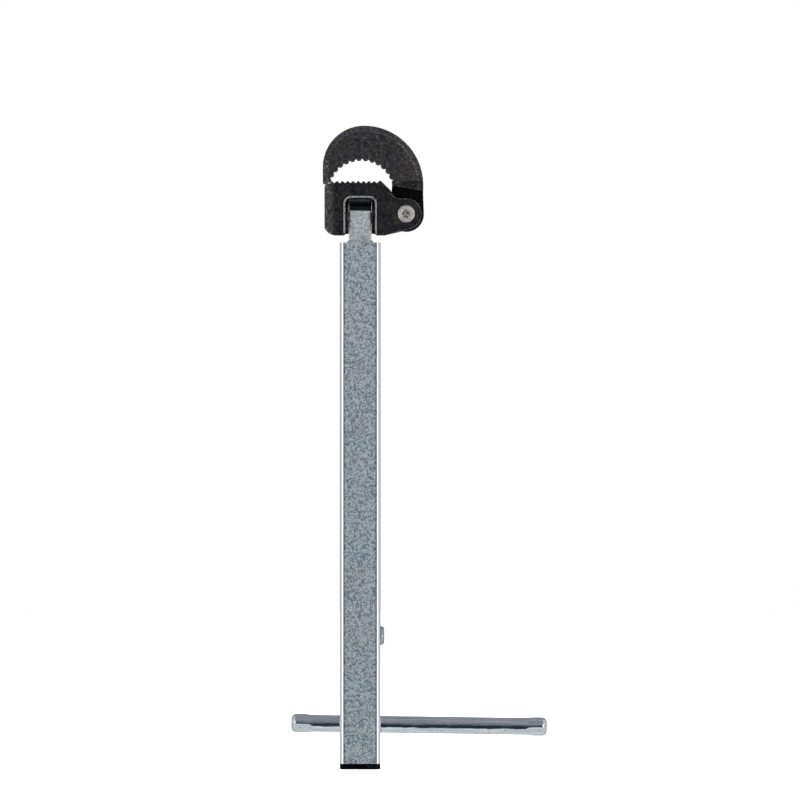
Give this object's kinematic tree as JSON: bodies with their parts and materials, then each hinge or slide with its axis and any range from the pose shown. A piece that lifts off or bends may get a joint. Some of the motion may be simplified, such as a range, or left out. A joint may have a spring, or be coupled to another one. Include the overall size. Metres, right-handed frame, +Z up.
{
  "type": "basin wrench",
  "caption": "Telescoping basin wrench: square tube and inner bar, sliding T-bar, tilting head and a sprung hook jaw with teeth.",
  "frame": {"origin": "centre of the end cap's flat underside, on the tube's axis", "axes": "+Z up the shank towards the jaws, +X along the long arm of the T-bar, towards the jaw pin's side"},
  "size_m": [0.126, 0.02, 0.3166],
  "materials": {
    "galvanised_tube": "zinc plated, mottled grey faces with a fine spangle and bright rounded corners",
    "zinc_bar": "zinc plated, satin and fine grained",
    "zinc_rod": "zinc plated, smooth and shiny",
    "polished_steel": "bright turned steel",
    "black_casting": "black oxide on a rough casting, slightly worn at the edges",
    "spring_steel": "oil-tempered spring steel, brownish",
    "black_plastic": "moulded black plastic, slightly glossy"
  },
  "bodies": {
    "tube": {"outer_tube": "galvanised_tube", "end_cap": "black_plastic"},
    "t_bar": {"t_bar": "zinc_rod"},
    "bar": {"inner_bar": "zinc_bar", "lock_button_spring": "spring_steel"},
    "button": {"lock_button": "polished_steel"},
    "heel": {"heel_jaw": "black_casting", "jaw_pin": "polished_steel", "head_pin": "polished_steel", "head_detent_spring": "spring_steel"},
    "hook": {"hook_jaw": "black_casting", "jaw_spring": "spring_steel"}
  },
  "joints": [
    {"name": "bar_slide", "type": "slide", "parent": "tube", "child": "bar", "axis": [0, 0, 1], "range_m": [0, 0.17799], "deforming": ["lock_button"]},
    {"name": "button_press", "type": "slide", "parent": "bar", "child": "button", "axis": [-1, 0, 0], "range_m": [0, 0.0043], "stiffness_N_per_m": 800, "springref_m": -0.004, "deforming": ["lock_button_spring"]},
    {"name": "head_tilt", "type": "hinge", "parent": "bar", "child": "heel", "pos_m": [0, 0, 0.2713], "axis": [1, 0, 0], "range_deg": [-90, 90], "deforming": ["head_detent_spring"]},
    {"name": "hook_open", "type": "hinge", "parent": "heel", "child": "hook", "pos_m": [0.0227, 0, 0.2731], "axis": [0, 1, 0], "range_deg": [0, 60], "stiffness_Nm_per_rad": 0.15, "springref_deg": -40.11, "deforming": ["jaw_spring"]},
    {"name": "t_bar_slide", "type": "slide", "parent": "tube", "child": "t_bar", "axis": [0.9999, 0, -0.0147], "range_m": [-0.0702, 0.0121]}
  ]
}
